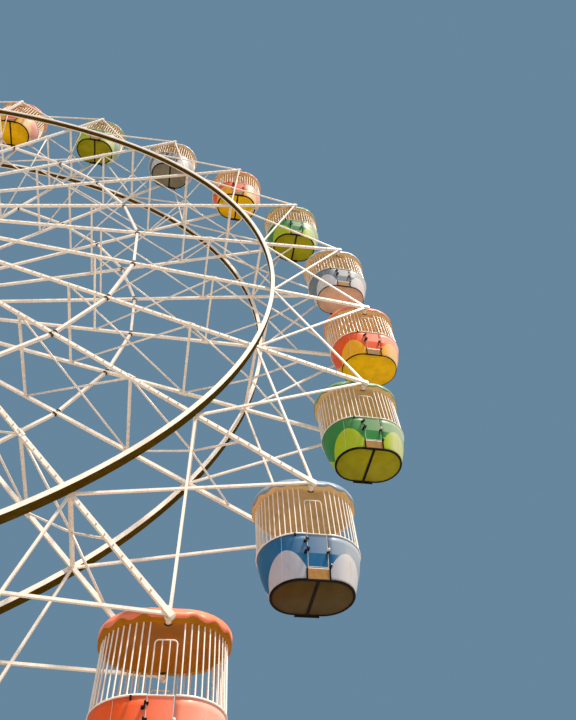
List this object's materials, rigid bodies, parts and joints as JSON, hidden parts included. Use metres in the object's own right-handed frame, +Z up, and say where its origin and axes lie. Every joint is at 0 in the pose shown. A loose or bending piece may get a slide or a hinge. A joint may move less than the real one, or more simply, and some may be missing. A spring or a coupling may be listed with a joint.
{
  "type": "ferris wheel",
  "caption": "Park ferris wheel: an open lattice wheel on two A-frames, with level-hanging barred cabins, domed canopies and opening doors on the lowest cabin.",
  "frame": {"origin": "on the ground, midway between the four feet and right under the hub", "axes": "+Z up, +Y along the axle away from the near side frame, +X to the right seen from the near side"},
  "size_m": [36.377, 9.6, 37.6985],
  "materials": {
    "frame_paint": "satin warm white paint",
    "dark_steel": "dark brown painted steel",
    "cabin_green": "gloss moulded plastic",
    "cabin_blue": "gloss moulded plastic",
    "cabin_red": "gloss moulded plastic"
  },
  "bodies": {
    "supports": {"near_bearing_block": "dark_steel", "near_leg_tie": "frame_paint", "near_left_leg": "frame_paint", "near_right_leg": "frame_paint", "far_bearing_block": "dark_steel", "far_leg_tie": "frame_paint", "far_left_leg": "frame_paint", "far_right_leg": "frame_paint", "left_ground_beam": "frame_paint", "right_ground_beam": "frame_paint"},
    "wheel": {"hub_drum": "dark_steel", "wheel_quarter_1": "frame_paint", "wheel_quarter_2": "frame_paint", "wheel_quarter_3": "frame_paint", "wheel_quarter_4": "frame_paint", "near_outer_frame_1": "frame_paint", "near_outer_frame_2": "frame_paint", "far_outer_frame_1": "frame_paint", "far_outer_frame_2": "frame_paint"},
    "cabin_01": {"cabin_01": "cabin_green"},
    "cabin_02": {"cabin_02": "cabin_blue"},
    "cabin_03": {"cabin_03": "cabin_red"},
    "cabin_04": {"cabin_04": "cabin_green"},
    "cabin_05": {"cabin_05": "cabin_blue"},
    "cabin_06": {"cabin_06": "cabin_red"},
    "cabin_07": {"cabin_07": "cabin_green"},
    "cabin_08": {"cabin_08": "cabin_blue"},
    "cabin_09": {"cabin_09": "cabin_red"},
    "cabin_10": {"cabin_10": "cabin_green"},
    "cabin_11": {"cabin_11": "cabin_blue"},
    "cabin_12": {"cabin_12": "cabin_red"},
    "cabin_13": {"cabin_13": "cabin_green"},
    "cabin_14": {"cabin_14": "cabin_blue"},
    "cabin_15": {"cabin_15": "cabin_red"},
    "cabin_16": {"cabin_16": "cabin_green"},
    "cabin_17": {"cabin_17": "cabin_blue"},
    "cabin_18": {"cabin_18": "cabin_red"},
    "cabin_19": {"cabin_19": "cabin_green"},
    "cabin_20": {"cabin_20": "cabin_blue"},
    "cabin_21": {"cabin_21": "cabin_red"},
    "cabin_22": {"cabin_22": "cabin_green"},
    "cabin_23": {"cabin_23": "cabin_blue"},
    "cabin_24": {"cabin_24": "cabin_red"},
    "near_door": {"near_door": "cabin_red"},
    "far_door": {"far_door": "cabin_red"}
  },
  "joints": [
    {"name": "wheel_spin", "type": "hinge", "parent": "supports", "child": "wheel", "pos_m": [0, 0, 20.4], "axis": [0, 1, 0], "continuous": true},
    {"name": "cabin_01_pivot", "type": "hinge", "parent": "wheel", "child": "cabin_01", "pos_m": [5.21941, 0, 36.57893], "axis": [0, 1, 0], "continuous": true},
    {"name": "cabin_02_pivot", "type": "hinge", "parent": "wheel", "child": "cabin_02", "pos_m": [9.22898, 0, 34.67676], "axis": [0, 1, 0], "continuous": true},
    {"name": "cabin_03_pivot", "type": "hinge", "parent": "wheel", "child": "cabin_03", "pos_m": [12.60961, 0, 31.80166], "axis": [0, 1, 0], "continuous": true},
    {"name": "cabin_04_pivot", "type": "hinge", "parent": "wheel", "child": "cabin_04", "pos_m": [15.13091, 0, 28.14955], "axis": [0, 1, 0], "continuous": true},
    {"name": "cabin_05_pivot", "type": "hinge", "parent": "wheel", "child": "cabin_05", "pos_m": [16.62107, 0, 23.96932], "axis": [0, 1, 0], "continuous": true},
    {"name": "cabin_06_pivot", "type": "hinge", "parent": "wheel", "child": "cabin_06", "pos_m": [16.97853, 0, 19.54585], "axis": [0, 1, 0], "continuous": true},
    {"name": "cabin_07_pivot", "type": "hinge", "parent": "wheel", "child": "cabin_07", "pos_m": [16.17893, 0, 15.18059], "axis": [0, 1, 0], "continuous": true},
    {"name": "cabin_08_pivot", "type": "hinge", "parent": "wheel", "child": "cabin_08", "pos_m": [14.27676, 0, 11.17102], "axis": [0, 1, 0], "continuous": true},
    {"name": "cabin_09_pivot", "type": "hinge", "parent": "wheel", "child": "cabin_09", "pos_m": [11.40165, 0, 7.79039], "axis": [0, 1, 0], "continuous": true},
    {"name": "cabin_10_pivot", "type": "hinge", "parent": "wheel", "child": "cabin_10", "pos_m": [7.74955, 0, 5.26909], "axis": [0, 1, 0], "continuous": true},
    {"name": "cabin_11_pivot", "type": "hinge", "parent": "wheel", "child": "cabin_11", "pos_m": [3.56932, 0, 3.77893], "axis": [0, 1, 0], "continuous": true},
    {"name": "cabin_12_pivot", "type": "hinge", "parent": "wheel", "child": "cabin_12", "pos_m": [-0.85415, 0, 3.42147], "axis": [0, 1, 0], "continuous": true},
    {"name": "cabin_13_pivot", "type": "hinge", "parent": "wheel", "child": "cabin_13", "pos_m": [-5.21941, 0, 4.22107], "axis": [0, 1, 0], "continuous": true},
    {"name": "cabin_14_pivot", "type": "hinge", "parent": "wheel", "child": "cabin_14", "pos_m": [-9.22898, 0, 6.12324], "axis": [0, 1, 0], "continuous": true},
    {"name": "cabin_15_pivot", "type": "hinge", "parent": "wheel", "child": "cabin_15", "pos_m": [-12.60961, 0, 8.99835], "axis": [0, 1, 0], "continuous": true},
    {"name": "cabin_16_pivot", "type": "hinge", "parent": "wheel", "child": "cabin_16", "pos_m": [-15.13091, 0, 12.65045], "axis": [0, 1, 0], "continuous": true},
    {"name": "cabin_17_pivot", "type": "hinge", "parent": "wheel", "child": "cabin_17", "pos_m": [-16.62107, 0, 16.83068], "axis": [0, 1, 0], "continuous": true},
    {"name": "cabin_18_pivot", "type": "hinge", "parent": "wheel", "child": "cabin_18", "pos_m": [-16.97853, 0, 21.25415], "axis": [0, 1, 0], "continuous": true},
    {"name": "cabin_19_pivot", "type": "hinge", "parent": "wheel", "child": "cabin_19", "pos_m": [-16.17893, 0, 25.61942], "axis": [0, 1, 0], "continuous": true},
    {"name": "cabin_20_pivot", "type": "hinge", "parent": "wheel", "child": "cabin_20", "pos_m": [-14.27676, 0, 29.62898], "axis": [0, 1, 0], "continuous": true},
    {"name": "cabin_21_pivot", "type": "hinge", "parent": "wheel", "child": "cabin_21", "pos_m": [-11.40165, 0, 33.00961], "axis": [0, 1, 0], "continuous": true},
    {"name": "cabin_22_pivot", "type": "hinge", "parent": "wheel", "child": "cabin_22", "pos_m": [-7.74955, 0, 35.53091], "axis": [0, 1, 0], "continuous": true},
    {"name": "cabin_23_pivot", "type": "hinge", "parent": "wheel", "child": "cabin_23", "pos_m": [-3.56932, 0, 37.02107], "axis": [0, 1, 0], "continuous": true},
    {"name": "cabin_24_pivot", "type": "hinge", "parent": "wheel", "child": "cabin_24", "pos_m": [0.85415, 0, 37.37853], "axis": [0, 1, 0], "continuous": true},
    {"name": "near_door_hinge", "type": "hinge", "parent": "cabin_12", "child": "near_door", "pos_m": [-1.09415, -0.885, 1.92147], "axis": [0, 0, -1], "range_deg": [0, 175]},
    {"name": "far_door_hinge", "type": "hinge", "parent": "cabin_12", "child": "far_door", "pos_m": [-0.61415, 0.885, 1.92147], "axis": [0, 0, -1], "range_deg": [0, 175]}
  ],
  "couplings": [
    {"joint": "cabin_01_pivot", "follows": "wheel_spin", "ratio": -1},
    {"joint": "cabin_02_pivot", "follows": "wheel_spin", "ratio": -1},
    {"joint": "cabin_03_pivot", "follows": "wheel_spin", "ratio": -1},
    {"joint": "cabin_04_pivot", "follows": "wheel_spin", "ratio": -1},
    {"joint": "cabin_05_pivot", "follows": "wheel_spin", "ratio": -1},
    {"joint": "cabin_06_pivot", "follows": "wheel_spin", "ratio": -1},
    {"joint": "cabin_07_pivot", "follows": "wheel_spin", "ratio": -1},
    {"joint": "cabin_08_pivot", "follows": "wheel_spin", "ratio": -1},
    {"joint": "cabin_09_pivot", "follows": "wheel_spin", "ratio": -1},
    {"joint": "cabin_10_pivot", "follows": "wheel_spin", "ratio": -1},
    {"joint": "cabin_11_pivot", "follows": "wheel_spin", "ratio": -1},
    {"joint": "cabin_12_pivot", "follows": "wheel_spin", "ratio": -1},
    {"joint": "cabin_13_pivot", "follows": "wheel_spin", "ratio": -1},
    {"joint": "cabin_14_pivot", "follows": "wheel_spin", "ratio": -1},
    {"joint": "cabin_15_pivot", "follows": "wheel_spin", "ratio": -1},
    {"joint": "cabin_16_pivot", "follows": "wheel_spin", "ratio": -1},
    {"joint": "cabin_17_pivot", "follows": "wheel_spin", "ratio": -1},
    {"joint": "cabin_18_pivot", "follows": "wheel_spin", "ratio": -1},
    {"joint": "cabin_19_pivot", "follows": "wheel_spin", "ratio": -1},
    {"joint": "cabin_20_pivot", "follows": "wheel_spin", "ratio": -1},
    {"joint": "cabin_21_pivot", "follows": "wheel_spin", "ratio": -1},
    {"joint": "cabin_22_pivot", "follows": "wheel_spin", "ratio": -1},
    {"joint": "cabin_23_pivot", "follows": "wheel_spin", "ratio": -1},
    {"joint": "cabin_24_pivot", "follows": "wheel_spin", "ratio": -1}
  ]
}
